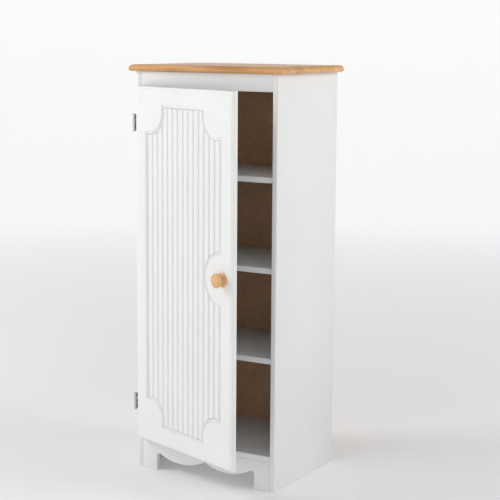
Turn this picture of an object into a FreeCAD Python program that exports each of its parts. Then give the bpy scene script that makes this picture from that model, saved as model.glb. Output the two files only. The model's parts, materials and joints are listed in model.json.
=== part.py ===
import FreeCAD, Part
import Sketcher
import os
import re

# Pantry cabinet with one hinged door, standing on the floor and stored with its door ajar.
# Frame: X to the right, Y to the back, Z up. The origin is the centre of the carcase's
# footprint on the floor. Lengths are in millimetres, angles in degrees.

DRIVING = {
    # carcase
    "carcase_width": 477, "carcase_depth": 362, "carcase_height": 1200, "board": 16,
    "rail_height": 50, "floor_panel_top": 104, "stretcher_width": 70,
    "back_thick": 3, "back_inset": 11, "groove_depth": 6,
    # pine top
    "slab_thick": 19, "slab_side_over": 19, "slab_front_over": 13, "slab_round": 12,
    # scalloped apron
    "arch_half": 170, "arch_rise": 52, "lobe_radius": 158, "lobe_offset": 78, "lobe_low": 31,
    # shelves and their pins
    "shelf_low": 374, "shelf_mid": 636, "shelf_high": 895, "shelf_setback": 12,
    "shelf_play": 1, "shelf_back_gap": 2, "shelf_round": 1.5, "pin_r": 2.5, "pin_out": 8, "pin_in": 8,
    "hole_over": 1, "hole_step": 32, "pin_front": 50, "pin_rear": 70,
    # door
    "door_width": 453, "door_low": 101.5, "door_high": 1158, "door_thick": 16,
    "door_gap": 2.5, "door_inset": 12, "door_round": 5, "door_ajar": 19.5,
    "bead_pitch": 24, "bead_count": 14, "bead_groove": 2, "bead_margin": 58.5,
    # hinges
    "hinge_inset": 2, "hinge_forward": 16, "hinge_length": 48, "hinge_from_end": 108,
    "leaf": 1, "barrel_r": 3.75, "hinge_pin_r": 1.6, "pin_play": 0.05, "knuckle_gap": 0.5,
    "end_knuckle": 14.75, "wrap_depth": 25, "door_leaf_width": 28, "pin_cap": 2.5,
    "leaf_hole_r": 1.6, "leaf_screw_r": 1.4, "leaf_screw_in": 12, "leaf_head_r": 3,
    "leaf_head": 1.8, "leaf_screw_rise": 14, "wrap_screw_at": 16, "door_screw_at": 26,
    # knob
    "knob_across": 409, "knob_z": 640, "knob_base_r": 20, "knob_waist_r": 12,
    "knob_head_r": 21, "knob_out": 30, "knob_screw_r": 2, "knob_screw_in": 14,
    "knob_screw_tip": 13, "screw_head_r": 4, "screw_head": 2.5,
    # magnetic catch under the rail, and its strike on the door
    "catch_x": 50, "catch_width": 46, "catch_depth": 15, "catch_height": 14, "catch_proud": 1,
    "magnet_width": 24, "magnet_depth": 8, "magnet_height": 6, "magnet_sunk": 1, "pole": 1.2,
    "catch_screw_at": 17, "catch_screw_r": 1.4, "catch_screw_in": 10,
    "strike_width": 30, "strike_height": 12, "strike_thick": 1, "strike_screw": 10,
    "bumper_r": 3, "bumper_thick": 1.5, "bumper_across": 150,
    # connectors
    "cam_r": 7.5, "cam_deep": 12.5, "cam_from_side": 34, "bolt_r": 3, "bolt_bore_r": 3.6,
    "bolt_head_r": 3.3, "bolt_head": 2.5, "bolt_root_r": 2.5, "bolt_root": 10,
    "cam_slot": 8, "cam_slot_reach": 11.5, "cam_slot_rise": 3, "driver_slot": 1.5,
    "cam_pitch": 110, "dowel_r": 4, "dowel_in_side": 10, "dowel_in_end": 20,
    "top_screw_r": 1.75, "top_screw": 28, "top_head_r": 3.5, "top_head": 2.5, "top_pitch": 150,
    "block": 22, "block_length": 50, "nail_r": 0.8, "nail": 20, "nail_head_r": 1.6,
    "nail_head": 0.6,
}

doc = FreeCAD.newDocument("pantry_cabinet")
sheet = doc.addObject("Spreadsheet::Sheet", "dims")
for row, (alias, value) in enumerate(DRIVING.items(), start=1):
    sheet.set("A%d" % row, alias)
    sheet.set("B%d" % row, str(value))
    sheet.setAlias("B%d" % row, alias)
probe = doc.addObject("App::FeaturePython", "probe")
probe.addProperty("App::PropertyFloat", "result")
doc.recompute()

NODES = []
TINY = 0.01
AXIS_TURN = {
    "Z": FreeCAD.Rotation(FreeCAD.Vector(0, 0, 1), 0),
    "X": FreeCAD.Rotation(FreeCAD.Vector(0, 1, 0), 90),
    "Y": FreeCAD.Rotation(FreeCAD.Vector(1, 0, 0), -90),
    "-X": FreeCAD.Rotation(FreeCAD.Vector(0, 1, 0), -90),
    "-Y": FreeCAD.Rotation(FreeCAD.Vector(1, 0, 0), 90),
    "-Z": FreeCAD.Rotation(FreeCAD.Vector(1, 0, 0), 180),
}


def as_cell(match):
    word = match.group(0)
    return "dims." + word if word in DRIVING else word


def bound(text):
    """An expression in which each alias of the sheet is written as the sheet's cell."""
    return re.sub(r"[A-Za-z_]+", as_cell, text)


def value(text):
    """The number that an expression of aliases comes to."""
    probe.setExpression("result", bound(text))
    probe.recompute()
    return probe.result


def bind(obj, **properties):
    for name, text in properties.items():
        obj.setExpression(name, bound(text))


def move(obj, at, turn="Z"):
    """Put an object at three expressions, its own Z turned along an axis."""
    obj.Placement = FreeCAD.Placement(FreeCAD.Vector(), AXIS_TURN[turn])
    for letter, text in zip("xyz", at):
        obj.setExpression("Placement.Base." + letter, bound(text))


def box(size, at, name="block"):
    """A box from its low corner."""
    obj = doc.addObject("Part::Box", name)
    bind(obj, Length=size[0], Width=size[1], Height=size[2])
    move(obj, at)
    return obj


def rod(radius, length, at, turn="Z", name="rod"):
    obj = doc.addObject("Part::Cylinder", name)
    bind(obj, Radius=radius, Height=length)
    move(obj, at, turn)
    return obj


def cone(radius_low, radius_high, length, at, turn="Z"):
    obj = doc.addObject("Part::Cone", "cone")
    bind(obj, Radius1=radius_low, Radius2=radius_high, Height=length)
    move(obj, at, turn)
    return obj


def fused(shapes):
    obj = doc.addObject("Part::MultiFuse", "joined")
    obj.Shapes = shapes
    return obj


def grouped(shapes):
    obj = doc.addObject("Part::Compound", "group")
    obj.Links = shapes
    return obj


def cut(base, tools):
    obj = doc.addObject("Part::Cut", "cut")
    obj.Base = base
    obj.Tool = grouped(tools) if len(tools) > 1 else tools[0]
    return obj


def node(obj, name):
    """Name a finished sub-part that belongs to the carcase."""
    obj.Label = name
    NODES.append(obj)
    return obj


def door_node(obj, name):
    """Name a finished sub-part drawn round the hinge axis with the door shut, and swing it open."""
    if obj.TypeId != "PartDesign::Body":
        obj = grouped([obj])
    obj.Placement = FreeCAD.Placement(FreeCAD.Vector(), FreeCAD.Rotation(FreeCAD.Vector(0, 0, -1), 1))
    obj.setExpression("Placement.Base.x", bound(HINGE_X))
    obj.setExpression("Placement.Base.y", bound(HINGE_Y))
    obj.setExpression("Placement.Rotation.Angle", bound("door_ajar"))
    return node(obj, name)


def new_body(name):
    return doc.addObject("PartDesign::Body", name)


def origin_plane(body, role):
    return next(f for f in body.Origin.OriginFeatures if f.Role == role)


def rectangle(body, plane, low, high, name="outline"):
    """A rectangle sketch between two corners, each given as two expressions from the origin."""
    sketch = body.newObject("Sketcher::SketchObject", name)
    sketch.AttachmentSupport = [(origin_plane(body, plane), "")]
    sketch.MapMode = "FlatFace"
    corners = [(low[0], low[1]), (high[0], low[1]), (high[0], high[1]), (low[0], high[1])]
    polygon(sketch, corners)
    return sketch


def polygon(sketch, corners):
    """Closed straight outline whose corners are placed by named distances from the origin."""
    points = [FreeCAD.Vector(value(a), value(b), 0) for a, b in corners]
    count = len(points)
    for i in range(count):
        sketch.addGeometry(Part.LineSegment(points[i], points[(i + 1) % count]))
    for i in range(count):
        sketch.addConstraint(Sketcher.Constraint("Coincident", i, 2, (i + 1) % count, 1))
    for i, (across, up) in enumerate(corners):
        for kind, text, number in (("DistanceX", across, points[i].x), ("DistanceY", up, points[i].y)):
            index = sketch.addConstraint(Sketcher.Constraint(kind, -1, 1, i, 1, number))
            if number:
                sketch.setExpression("Constraints[%d]" % index, bound(text))


def pad(body, sketch, length, reverse=False, name="pad"):
    feature = body.newObject("PartDesign::Pad", name)
    feature.Profile = sketch
    feature.Reversed = reverse
    feature.setExpression("Length", bound(length))
    return feature


def edges_where(shape, test):
    """The names of the edges whose two ends and middle all pass a test."""
    names = []
    for i, edge in enumerate(shape.Edges, start=1):
        middle = edge.valueAt((edge.FirstParameter + edge.LastParameter) / 2)
        if all(test(v.Point) for v in edge.Vertexes) and test(middle):
            names.append("Edge%d" % i)
    return names


def rounded(body, base, radius, test):
    doc.recompute()
    feature = body.newObject("PartDesign::Fillet", "rounding")
    feature.Base = (base, edges_where(base.Shape, test))
    feature.setExpression("Radius", bound(radius))
    return feature


# Planes and lines that several sub-parts share.
LEFT = "-carcase_width / 2"
RIGHT = "carcase_width / 2"
INNER_LEFT = "(board - carcase_width / 2)"
INNER_RIGHT = "(carcase_width / 2 - board)"
FRONT = "(-carcase_depth / 2)"
BACK = "(carcase_depth / 2)"
BACK_PANEL_Y = "(carcase_depth / 2 - back_inset - back_thick)"
INSIDE = "(carcase_width - 2 * board)"
RAIL_Z = "(carcase_height - rail_height)"
FLOOR_UNDER = "(floor_panel_top - board)"
STRETCHER_Z = "(carcase_height - board)"
HINGE_X = "(hinge_inset - carcase_width / 2)"
HINGE_Y = "(-carcase_depth / 2 - hinge_forward)"
DOOR_LEFT = "(door_inset - hinge_inset)"
DOOR_BACK = "(hinge_forward - door_gap)"
DOOR_FRONT = "(hinge_forward - door_gap - door_thick)"
HINGES = {
    "upper": "(door_high - hinge_from_end)",
    "lower": "(door_low + hinge_from_end)",
}
SHELVES = {"lower": "shelf_low", "middle": "shelf_mid", "upper": "shelf_high"}
SIDES = {
    # name: (inner face, turn from that face into the panel)
    "left": (INNER_LEFT, "-X"),
    "right": (INNER_RIGHT, "X"),
}
PIN_YS = ("(-carcase_depth / 2 + pin_front)", "(carcase_depth / 2 - pin_rear)")
# Boards that meet the side panels end-on: the depth of each cam and each dowel, with the height
# of the board's underside at a cam and of the dowel's own axis.
CAM_LINES = [
    ("bottom_panel", "-cam_pitch", FLOOR_UNDER),
    ("bottom_panel", "cam_pitch", FLOOR_UNDER),
    ("front_stretcher", FRONT + " + board + stretcher_width / 2", STRETCHER_Z),
    ("rear_stretcher", BACK_PANEL_Y + " - stretcher_width / 2", STRETCHER_Z),
]
DOWEL_LINES = [
    ("bottom_panel", "0", FLOOR_UNDER + " + board / 2"),
    ("top_rail", FRONT + " + board / 2", RAIL_Z + " + rail_height * 0.25"),
    ("top_rail", FRONT + " + board / 2", RAIL_Z + " + rail_height * 0.75"),
    ("apron", FRONT + " + board / 2", FLOOR_UNDER + " * 0.3"),
    ("apron", FRONT + " + board / 2", FLOOR_UNDER + " * 0.75"),
]


def dowel_at(side, y, z):
    """A wooden dowel half in the side panel and half in the end of the board beside it."""
    start = SIDES[side][0] + (" - dowel_in_side" if side == "left" else " - dowel_in_end")
    return rod("dowel_r", "dowel_in_side + dowel_in_end", (start, y, z), "X")


def cam_bore_at(side, y, z):
    """The bore in a board's end through which the bolt reaches its cam."""
    inward = "X" if side == "left" else "-X"
    return rod("bolt_bore_r", "cam_from_side", (SIDES[side][0], y, z), inward)


def cam_bolt_at(side, y, z):
    """A connector bolt: a threaded root in the side panel, a shank and a head in the cam."""
    face, into_panel = SIDES[side]
    inward, plus = ("X", " + ") if side == "left" else ("-X", " - ")
    root = rod("bolt_root_r", "bolt_root", (face, y, z), into_panel)
    shank = rod("bolt_r", "cam_from_side - bolt_head", (face, y, z), inward)
    head = rod("bolt_head_r", "bolt_head", (face + plus + "(cam_from_side - bolt_head)", y, z), inward)
    return fused([root, shank, head])


def cam_pocket_at(side, y, z_under):
    """The round pocket in the underside of a board that holds a cam lock."""
    plus = " + " if side == "left" else " - "
    return rod("cam_r", "cam_deep", (SIDES[side][0] + plus + "cam_from_side", y, z_under))


def cam_at(side, y, z_under):
    """A cam lock, slotted for the bolt's head and for a screwdriver."""
    face = SIDES[side][0]
    if side == "left":
        slot_x = face + " + cam_from_side + cam_slot_rise - cam_slot_reach"
        driver_x = face + " + cam_from_side - cam_r / 2"
    else:
        slot_x = face + " - cam_from_side - cam_slot_rise"
        driver_x = face + " - cam_from_side - cam_r / 2"
    slot_at = (slot_x, y + " - cam_slot / 2", z_under + " + cam_slot_rise")
    slot = box(("cam_slot_reach", "cam_slot", "cam_deep"), slot_at)
    driver = box(("cam_r", "driver_slot", "driver_slot"), (driver_x, y + " - driver_slot / 2", z_under))
    return cut(cam_pocket_at(side, y, z_under), [slot, driver])


def end_bores(name):
    """The cam pockets, bolt bores and dowel holes of one board."""
    tools = []
    for board_name, y, z_under in CAM_LINES:
        if board_name == name:
            for side in SIDES:
                tools.append(cam_pocket_at(side, y, z_under))
                tools.append(cam_bore_at(side, y, z_under + " + board / 2"))
    for board_name, y, z in DOWEL_LINES:
        if board_name == name:
            tools += [dowel_at(side, y, z) for side in SIDES]
    return tools


# ---------------------------------------------------------------- carcase boards
def side_panel(side):
    """Full-height side board: grooved for the back, bored for pins, dowels and connector bolts."""
    face, into = SIDES[side]
    low_x = LEFT if side == "left" else INNER_RIGHT
    body = new_body("side_board_" + side)
    sketch = rectangle(body, "XY_Plane", (low_x, FRONT), (low_x + " + board", BACK))
    pad(body, sketch, "carcase_height")
    groove_x = face + (" - groove_depth" if side == "left" else "")
    groove_at = (groove_x, BACK_PANEL_Y, FLOOR_UNDER)
    tools = [box(("groove_depth", "back_thick", "carcase_height"), groove_at)]
    for under in SHELVES.values():
        for y in PIN_YS:
            for step in (-1, 0, 1):
                z = "%s - pin_r + %d * hole_step" % (under, step)
                tools.append(rod("pin_r", "pin_in + hole_over", (face, y, z), into))
    for _, y, z_under in CAM_LINES:
        tools.append(rod("bolt_root_r", "bolt_root", (face, y, z_under + " + board / 2"), into))
    for _, y, z in DOWEL_LINES:
        tools.append(dowel_at(side, y, z))
    if side == "left":
        tools += [wrap_screw_shank(z) for z in wrap_screw_heights()]
    return node(cut(body, tools), "side_panel_" + side)


def wrap_screw_heights():
    return ["%s %s leaf_screw_rise" % (z, sign) for z in HINGES.values() for sign in "+-"]


def wrap_screw_shank(z):
    """The shank of a screw through a frame leaf's wrap into the left side panel."""
    at = (INNER_LEFT, FRONT + " + wrap_screw_at", z)
    return rod("leaf_screw_r", "leaf_screw_in", at, "-X")


def bottom_panel():
    plain = box((INSIDE, BACK_PANEL_Y + " - " + FRONT, "board"), (INNER_LEFT, FRONT, FLOOR_UNDER))
    return node(cut(plain, end_bores("bottom_panel") + nail_holes("bottom")), "bottom_panel")


def top_rail():
    """Upright board across the front, over the door opening."""
    plain = box((INSIDE, "board", "rail_height"), (INNER_LEFT, FRONT, RAIL_Z))
    screws = [catch_screw_shank(sign) for sign in "+-"]
    return node(cut(plain, end_bores("top_rail") + screws), "top_rail")


def stretchers():
    """Flat boards under the top, to which it is screwed from below."""
    places = {"front_stretcher": FRONT + " + board", "rear_stretcher": BACK_PANEL_Y + " - stretcher_width"}
    for name, y in places.items():
        plain = box((INSIDE, "stretcher_width", "board"), (INNER_LEFT, y, STRETCHER_Z))
        tools = end_bores(name) + [top_screw(x, y + " + stretcher_width / 2") for x in TOP_SCREW_XS]
        if name == "rear_stretcher":
            tools += nail_holes("top")
        node(cut(plain, tools), name)


def apron():
    """Front board under the bottom panel: an arch between two feet, with two hanging lobes."""
    plain = box((INSIDE, "board", FLOOR_UNDER), (INNER_LEFT, FRONT, "0"))
    arch = box(("2 * arch_half", "board", "arch_rise"), ("-arch_half", FRONT, "0"))
    lobes = []
    for sign in ("-", ""):
        at = (sign + "lobe_offset", FRONT, "lobe_low + lobe_radius")
        lobes.append(rod("lobe_radius", "board", at, "Y"))
    arch_void = cut(arch, lobes)
    return node(cut(plain, [arch_void] + end_bores("apron")), "apron")


def apron_blocks():
    """Glue blocks that stiffen the corners between the apron and the side panels."""
    z = FLOOR_UNDER + " - block_length"
    left = box(("block", "block", "block_length"), (INNER_LEFT, FRONT + " + board", z))
    right = box(("block", "block", "block_length"), (INNER_RIGHT + " - block", FRONT + " + board", z))
    return node(grouped([left, right]), "apron_blocks")


def back_panel():
    width = INSIDE + " + 2 * groove_depth"
    at = (INNER_LEFT + " - groove_depth", BACK_PANEL_Y, FLOOR_UNDER)
    plain = box((width, "back_thick", "carcase_height - " + FLOOR_UNDER), at)
    return node(cut(plain, nail_holes("bottom") + nail_holes("top")), "back_panel")


NAIL_XS = ["%d * carcase_width / 10" % i for i in (-4, -2, 0, 2, 4)]
NAIL_ZS = {"bottom": FLOOR_UNDER + " + board / 2", "top": STRETCHER_Z + " + board / 2"}


def nail_holes(row):
    """Shanks of the nails that hold the back to the board at the bottom or the top."""
    start = BACK_PANEL_Y + " + back_thick"
    return [rod("nail_r", "nail", (x, start, NAIL_ZS[row]), "-Y") for x in NAIL_XS]


def back_nails():
    nails = []
    for z in NAIL_ZS.values():
        for x in NAIL_XS:
            shank = rod("nail_r", "nail", (x, BACK_PANEL_Y + " + back_thick", z), "-Y")
            head = rod("nail_head_r", "nail_head", (x, BACK_PANEL_Y + " + back_thick", z), "Y")
            nails.append(fused([shank, head]))
    return node(grouped(nails), "back_nails")


def top_slab():
    """Solid wood top whose upper edge is rounded over at the front and both ends."""
    body = new_body("slab")
    low = (LEFT + " - slab_side_over", FRONT + " - slab_front_over")
    high = (RIGHT + " + slab_side_over", BACK)
    base = pad(body, rectangle(body, "XY_Plane", low, high), "slab_thick")
    top = value("slab_thick") - TINY
    end = value(high[0]) - TINY
    back = value(BACK) - TINY
    rounded(body, base, "slab_round", lambda p: p.z > top and (abs(p.x) > end or p.y < back))
    move(body, ("0", "0", "carcase_height"))
    screws = [top_screw(x, y) for x in TOP_SCREW_XS for y in TOP_SCREW_YS]
    return node(cut(body, screws), "top_slab")


TOP_SCREW_XS = ("-top_pitch", "0", "top_pitch")
TOP_SCREW_YS = (FRONT + " + board + stretcher_width / 2", BACK_PANEL_Y + " - stretcher_width / 2")


def top_screw(x, y):
    """A countersunk screw driven up through a stretcher into the top."""
    shank = rod("top_screw_r", "top_screw", (x, y, STRETCHER_Z))
    head = cone("top_head_r", "top_screw_r", "top_head", (x, y, STRETCHER_Z))
    return fused([shank, head])


def shelf(name, under):
    body = new_body("board_" + name)
    low = (INNER_LEFT + " + shelf_play", FRONT + " + shelf_setback")
    high = (INNER_RIGHT + " - shelf_play", BACK_PANEL_Y + " - shelf_back_gap")
    base = pad(body, rectangle(body, "XY_Plane", low, high), "board")
    front = value(low[1]) + TINY
    half = value("board / 2")
    rounded(body, base, "shelf_round", lambda p: p.y < front and abs(p.z - half) > half - TINY)
    move(body, ("0", "0", under))
    return node(body, "shelf_" + name)


def shelf_pins(name, under):
    pins = []
    for side, (face, _) in SIDES.items():
        start = face + (" - pin_in" if side == "left" else " - pin_out")
        for y in PIN_YS:
            pins.append(rod("pin_r", "pin_in + pin_out", (start, y, under + " - pin_r"), "X"))
    return node(grouped(pins), "shelf_pins_" + name)


def connectors():
    cams, bolts, dowels = [], [], []
    for _, y, z_under in CAM_LINES:
        for side in SIDES:
            cams.append(cam_at(side, y, z_under))
            bolts.append(cam_bolt_at(side, y, z_under + " + board / 2"))
    for _, y, z in DOWEL_LINES:
        dowels += [dowel_at(side, y, z) for side in SIDES]
    node(grouped(cams), "cam_locks")
    node(grouped(bolts), "cam_bolts")
    node(grouped(dowels), "wooden_dowels")
    node(grouped([top_screw(x, y) for x in TOP_SCREW_XS for y in TOP_SCREW_YS]), "top_screws")


# ---------------------------------------------------------------- hinges
def knuckle(length, at):
    return rod("barrel_r", length, at)


def frame_leaf(which, z):
    """The leaf on the carcase: two end knuckles, webs to a plate on the panel's front edge
    and a wrap on its inner face."""
    low = z + " - hinge_length / 2"
    plates = []
    for start in (low, z + " + hinge_length / 2 - end_knuckle"):
        plates.append(knuckle("end_knuckle", (HINGE_X, HINGE_Y, start)))
        plates.append(box(("leaf", "hinge_forward", "end_knuckle"), (LEFT, HINGE_Y, start)))
    plates.append(box(("board + leaf", "leaf", "hinge_length"), (LEFT, FRONT + " - leaf", low)))
    plates.append(box(("leaf", "wrap_depth", "hinge_length"), (INNER_LEFT, FRONT, low)))
    bore = rod("hinge_pin_r + pin_play", "hinge_length", (HINGE_X, HINGE_Y, low))
    holes = []
    for sign in (" + ", " - "):
        at = (INNER_LEFT, FRONT + " + wrap_screw_at", z + sign + "leaf_screw_rise")
        holes.append(rod("leaf_hole_r", "leaf", at, "X"))
    return node(cut(fused(plates), [bore] + holes), "hinge_%s_frame_leaf" % which)


def door_leaf(which, z):
    """The leaf on the door: a middle knuckle, a web and a neck round the door's edge, and a
    plate on the door's back."""
    low = z + " - hinge_length / 2"
    middle = low + " + end_knuckle + knuckle_gap"
    length = "hinge_length - 2 * (end_knuckle + knuckle_gap)"
    neck_x = DOOR_LEFT + " - leaf"
    web = box((DOOR_LEFT, "leaf", length), ("0", "barrel_r - leaf", middle))
    neck = box(("leaf", DOOR_BACK + " + 2 * leaf - barrel_r", length), (neck_x, "barrel_r - leaf", middle))
    plate = box(("door_leaf_width", "leaf", "hinge_length"), (neck_x, DOOR_BACK, low))
    bore = rod("hinge_pin_r + pin_play", "hinge_length", ("0", "0", low))
    holes = []
    for sign in (" + ", " - "):
        at = ("door_screw_at", DOOR_BACK, z + sign + "leaf_screw_rise")
        holes.append(rod("leaf_hole_r", "leaf", at, "Y"))
    solid = cut(fused([knuckle(length, ("0", "0", middle)), web, neck, plate]), [bore] + holes)
    return door_node(solid, "hinge_%s_door_leaf" % which)


def hinge_pin(which, z):
    """Loose pin with a domed cap at each end."""
    x, y = HINGE_X, HINGE_Y
    shaft = rod("hinge_pin_r", "hinge_length", (x, y, z + " - hinge_length / 2"))
    top = cone("barrel_r", "barrel_r / 2", "pin_cap", (x, y, z + " + hinge_length / 2"))
    bottom = cone("barrel_r", "barrel_r / 2", "pin_cap", (x, y, z + " - hinge_length / 2"), "-Z")
    return node(fused([shaft, top, bottom]), "hinge_%s_pin" % which)


def frame_leaf_screws():
    screws = []
    for z in wrap_screw_heights():
        at = (INNER_LEFT + " + leaf", FRONT + " + wrap_screw_at", z)
        shank = rod("leaf_screw_r", "leaf_screw_in + leaf", at, "-X")
        head = rod("leaf_head_r", "leaf_head", at, "X")
        screws.append(fused([shank, head]))
    return node(grouped(screws), "frame_leaf_screws")


def door_leaf_screws():
    screws = []
    for z in wrap_screw_heights():
        at = ("door_screw_at", DOOR_BACK + " + leaf", z)
        shank = rod("leaf_screw_r", "leaf_screw_in", at, "-Y")
        head = rod("leaf_head_r", "leaf_head", at, "Y")
        screws.append(fused([shank, head]))
    return door_node(grouped(screws), "door_leaf_screws")


# ---------------------------------------------------------------- door
def door_panel():
    """Moulded slab with a rounded front edge and a field of upright V grooves."""
    body = new_body("door_board")
    low = (DOOR_LEFT, DOOR_FRONT)
    high = (DOOR_LEFT + " + door_width", DOOR_BACK)
    sketch = rectangle(body, "XY_Plane", low, high)
    sketch.setExpression("AttachmentOffset.Base.z", bound("door_low"))
    base = pad(body, sketch, "door_high - door_low")
    front = value(DOOR_FRONT) + TINY
    edge = rounded(body, base, "door_round", lambda p: p.y < front)
    doc.recompute()
    first = DOOR_LEFT + " + (door_width - bead_pitch * bead_count) / 2"
    groove = body.newObject("Sketcher::SketchObject", "groove_section")
    groove.AttachmentSupport = [(origin_plane(body, "XY_Plane"), "")]
    groove.MapMode = "FlatFace"
    groove.setExpression("AttachmentOffset.Base.z", bound("door_low + bead_margin"))
    polygon(groove, [(first + " - bead_groove", DOOR_FRONT + " - leaf"),
                     (first + " + bead_groove", DOOR_FRONT + " - leaf"),
                     (first, DOOR_FRONT + " + bead_groove")])
    pocket = body.newObject("PartDesign::Pocket", "groove")
    pocket.Profile = groove
    pocket.Reversed = True
    pocket.setExpression("Length", bound("door_high - door_low - 2 * bead_margin"))
    doc.recompute()
    assert pocket.Shape.Volume < edge.Shape.Volume - TINY, "the groove cuts nothing"
    row = body.newObject("PartDesign::LinearPattern", "groove_row")
    row.Originals = [pocket]
    row.Direction = (groove, ["H_Axis"])
    row.setExpression("Length", bound("bead_pitch * bead_count"))
    row.setExpression("Occurrences", bound("bead_count + 1"))
    body.Tip = row
    doc.recompute()
    assert row.Shape.Volume < pocket.Shape.Volume - TINY, "the pattern cuts nothing"
    holes = [rod("leaf_screw_r", "leaf_screw_in - leaf", ("door_screw_at", DOOR_BACK, z), "-Y")
             for z in wrap_screw_heights()]
    holes.append(rod("knob_screw_r", "door_thick", (KNOB_X, DOOR_BACK, "knob_z"), "-Y"))
    holes += [strike_screw_solid(sign) for sign in "+-"]
    return door_node(cut(body, holes), "door_panel")


KNOB_X = "(" + DOOR_LEFT + " + knob_across)"


def knob():
    """Turned knob: a flared base, a waist and a domed head."""
    body = new_body("knob_turning")
    sketch = body.newObject("Sketcher::SketchObject", "knob_profile")
    sketch.AttachmentSupport = [(origin_plane(body, "XZ_Plane"), "")]
    sketch.MapMode = "FlatFace"
    outline = [
        ("0", "knob_screw_in"), ("0", "knob_out"), ("knob_head_r * 0.55", "knob_out * 0.97"),
        ("knob_head_r * 0.88", "knob_out * 0.87"), ("knob_head_r", "knob_out * 0.72"),
        ("knob_head_r * 0.86", "knob_out * 0.58"), ("knob_waist_r", "knob_out * 0.42"),
        ("knob_waist_r * 1.06", "knob_out * 0.26"), ("knob_base_r * 0.86", "knob_out * 0.12"),
        ("knob_base_r", "knob_out * 0.06"), ("knob_base_r", "0"), ("knob_screw_r", "0"),
        ("knob_screw_r", "knob_screw_in"),
    ]
    polygon(sketch, outline)
    turned = body.newObject("PartDesign::Revolution", "turning")
    turned.Profile = sketch
    turned.ReferenceAxis = (sketch, ["V_Axis"])
    turned.Angle = 360
    doc.recompute()
    move(body, (KNOB_X, DOOR_FRONT, "knob_z"), "-Y")
    return door_node(grouped([body]), "knob")


def knob_screw():
    shank = rod("knob_screw_r", "door_thick + knob_screw_tip", (KNOB_X, DOOR_BACK, "knob_z"), "-Y")
    head = rod("screw_head_r", "screw_head", (KNOB_X, DOOR_BACK, "knob_z"), "Y")
    return door_node(fused([shank, head]), "knob_screw")


# ---------------------------------------------------------------- catch
CATCH_Y = FRONT + " - catch_proud"
CATCH_Z = RAIL_Z + " - catch_height"
MAGNET_X = "(catch_x - magnet_width / 2)"
MAGNET_Z = "(" + CATCH_Z + " + (catch_height - magnet_height) / 2)"
STRIKE_X = "(carcase_width / 2 - hinge_inset + catch_x)"


def catch_screw_shank(sign):
    at = ("catch_x %s catch_screw_at" % sign, FRONT + " + catch_depth / 2", CATCH_Z)
    return rod("catch_screw_r", "catch_height + catch_screw_in", at)


def catch_housing():
    corner = ("catch_x - catch_width / 2", CATCH_Y, CATCH_Z)
    plain = box(("catch_width", "catch_depth", "catch_height"), corner)
    cavity = box(("magnet_width", "magnet_depth + magnet_sunk", "magnet_height + 2 * pole"),
                 (MAGNET_X, CATCH_Y, MAGNET_Z + " - pole"))
    holes = [catch_screw_shank(sign) for sign in "+-"]
    return node(cut(plain, [cavity] + holes), "catch_housing")


def catch_insides():
    """Magnet between two steel pole plates, in the housing's mouth."""
    magnet_at = (MAGNET_X, CATCH_Y + " + magnet_sunk", MAGNET_Z)
    node(box(("magnet_width", "magnet_depth", "magnet_height"), magnet_at), "catch_magnet")
    poles = []
    for offset in (" - pole", " + magnet_height"):
        at = (MAGNET_X, CATCH_Y, MAGNET_Z + offset)
        poles.append(box(("magnet_width", "magnet_depth + magnet_sunk", "pole"), at))
    node(grouped(poles), "catch_pole_plates")


def catch_screws():
    screws = []
    for sign in "+-":
        at = ("catch_x %s catch_screw_at" % sign, FRONT + " + catch_depth / 2", CATCH_Z)
        head = rod("leaf_head_r", "leaf_head", at, "-Z")
        screws.append(fused([catch_screw_shank(sign), head]))
    return node(grouped(screws), "catch_screws")


def strike_screw_solid(sign):
    """Flush screw through the strike plate into the door's back."""
    x = "%s %s strike_width / 3" % (STRIKE_X, sign)
    at = (x, DOOR_BACK + " + strike_thick", CATCH_Z + " + catch_height / 2")
    head = cone("leaf_head_r", "leaf_screw_r", "strike_thick", at, "-Y")
    return fused([rod("leaf_screw_r", "strike_screw", at, "-Y"), head])


def strike():
    z = CATCH_Z + " + (catch_height - strike_height) / 2"
    corner = (STRIKE_X + " - strike_width / 2", DOOR_BACK, z)
    plate = box(("strike_width", "strike_thick", "strike_height"), corner)
    door_node(cut(plate, [strike_screw_solid(sign) for sign in "+-"]), "catch_strike")
    door_node(grouped([strike_screw_solid(sign) for sign in "+-"]), "strike_screws")


def bumpers():
    """Soft dots on the door's back, where it meets the rail."""
    z = "(door_high + " + RAIL_Z + ") / 2"
    middle = DOOR_LEFT + " + door_width / 2"
    dots = [rod("bumper_r", "bumper_thick", (middle + sign + "bumper_across", DOOR_BACK, z), "Y")
            for sign in (" - ", " + ")]
    return door_node(grouped(dots), "door_bumpers")


def build():
    for side in SIDES:
        side_panel(side)
    bottom_panel()
    top_rail()
    stretchers()
    apron()
    apron_blocks()
    back_panel()
    back_nails()
    top_slab()
    for name, under in SHELVES.items():
        shelf(name, under)
        shelf_pins(name, under)
    connectors()
    for which, z in HINGES.items():
        frame_leaf(which, z)
        door_leaf(which, z)
        hinge_pin(which, z)
    frame_leaf_screws()
    door_leaf_screws()
    door_panel()
    knob()
    knob_screw()
    catch_housing()
    catch_insides()
    catch_screws()
    strike()
    bumpers()


build()
doc.recompute()
for obj in doc.Objects:
    assert not {"Invalid", "Error"} & set(obj.State), "%s failed: %s" % (obj.Label, obj.State)
os.makedirs("parts", exist_ok=True)
for obj in NODES:
    shape = obj.Shape
    assert not shape.isNull() and shape.isValid() and shape.Solids, obj.Label + " has no valid shape"
    shape.exportStep("parts/%s.step" % obj.Label)
    print("%-26s %2d solids %12.1f mm3" % (obj.Label, len(shape.Solids), shape.Volume))
print(len(NODES), "nodes")
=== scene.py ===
import bmesh
import bpy
import json
import math
import numpy as np
from mathutils import Matrix, Vector


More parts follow.
